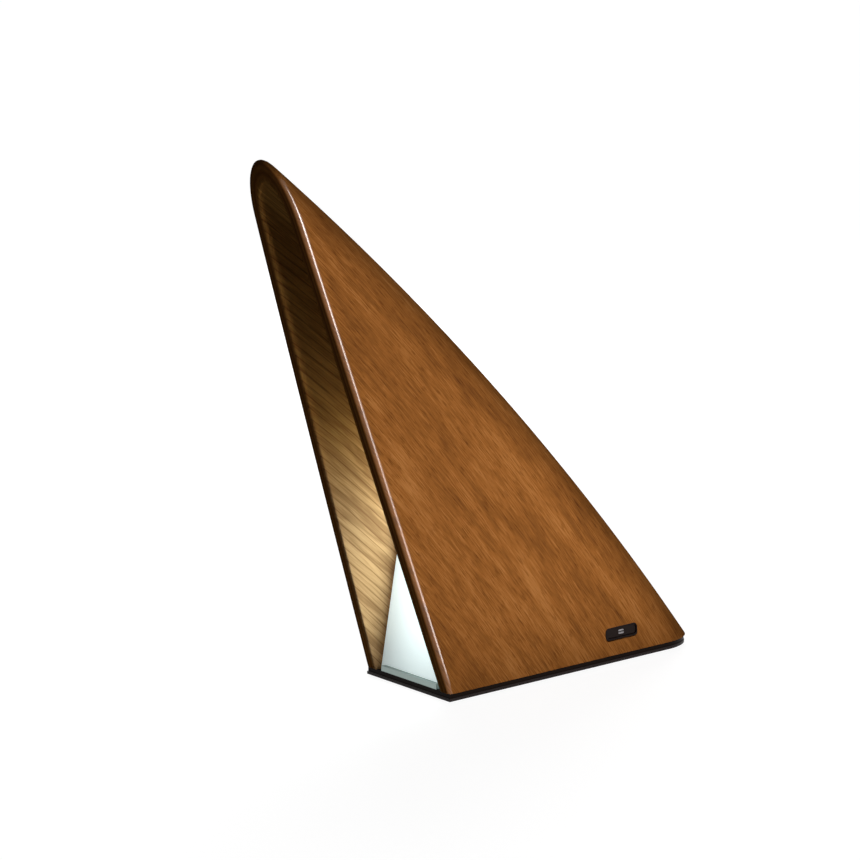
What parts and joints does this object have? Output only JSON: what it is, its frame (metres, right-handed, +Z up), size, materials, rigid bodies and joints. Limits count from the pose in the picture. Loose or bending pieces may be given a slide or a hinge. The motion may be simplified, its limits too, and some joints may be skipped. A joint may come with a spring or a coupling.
{
  "type": "bedside lamp",
  "caption": "Bedside lamp with a folded plywood hood that leans forward over an upright opal light panel, on a thin flat base with a push button in its side.",
  "frame": {"origin": "on the table, under the middle of the foot: half way between the hood's front edge and its ridge, on the plane of symmetry", "axes": "+Z up, -Y out of the open front, +X to the side that carries the button"},
  "size_m": [0.0696, 0.2633, 0.272],
  "materials": {
    "stained_ply": "satin lacquer over brown stain, open grain",
    "dark_abs": "moulded matt black-brown",
    "plate_steel": "powder-coated dark grey",
    "pad_rubber": "matt sheet",
    "screw_steel": "zinc plated",
    "opal_acrylic": "opal, satin face",
    "satin_aluminium": "satin anodised",
    "white_abs": "moulded white",
    "board_white": "white solder mask",
    "led_phosphor": "phosphor resin",
    "cell_wrap": "shrink sleeve",
    "nickel_strip": "plain",
    "board_green": "green solder mask",
    "black_resin": "moulded resin",
    "socket_steel": "drawn shell",
    "button_black": "satin moulded black",
    "light_mark": "frosted light pipe",
    "lead_cover": "soft insulation"
  },
  "bodies": {
    "lamp": {"wood_shell": "stained_ply", "base_tray": "dark_abs", "bottom_plate": "plate_steel", "foot_pad": "pad_rubber", "plate_screws": "screw_steel", "wood_screws": "screw_steel", "light_panel": "opal_acrylic", "panel_rail": "satin_aluminium", "light_box": "white_abs", "led_board": "board_white", "led_chips": "led_phosphor", "heat_sink": "satin_aluminium", "engine_screws": "screw_steel", "battery_cell": "cell_wrap", "battery_holder": "dark_abs", "battery_contacts": "nickel_strip", "holder_screws": "screw_steel", "control_board": "board_green", "control_screws": "screw_steel", "board_components": "black_resin", "charging_socket": "socket_steel", "socket_tongue": "black_resin", "socket_liner": "dark_abs", "button_bezel": "button_black", "switch_body": "black_resin", "switch_board": "board_green", "switch_screws": "screw_steel", "battery_leads": "lead_cover", "led_lead": "lead_cover", "switch_lead": "lead_cover"},
    "button": {"button_cap": "button_black", "button_light": "light_mark", "switch_plunger": "white_abs"}
  },
  "joints": [
    {"name": "button_press", "type": "slide", "parent": "lamp", "child": "button", "axis": [-0.9916, -0.0998, -0.082], "range_m": [0, 0.0006], "stiffness_N_per_m": 3000}
  ]
}
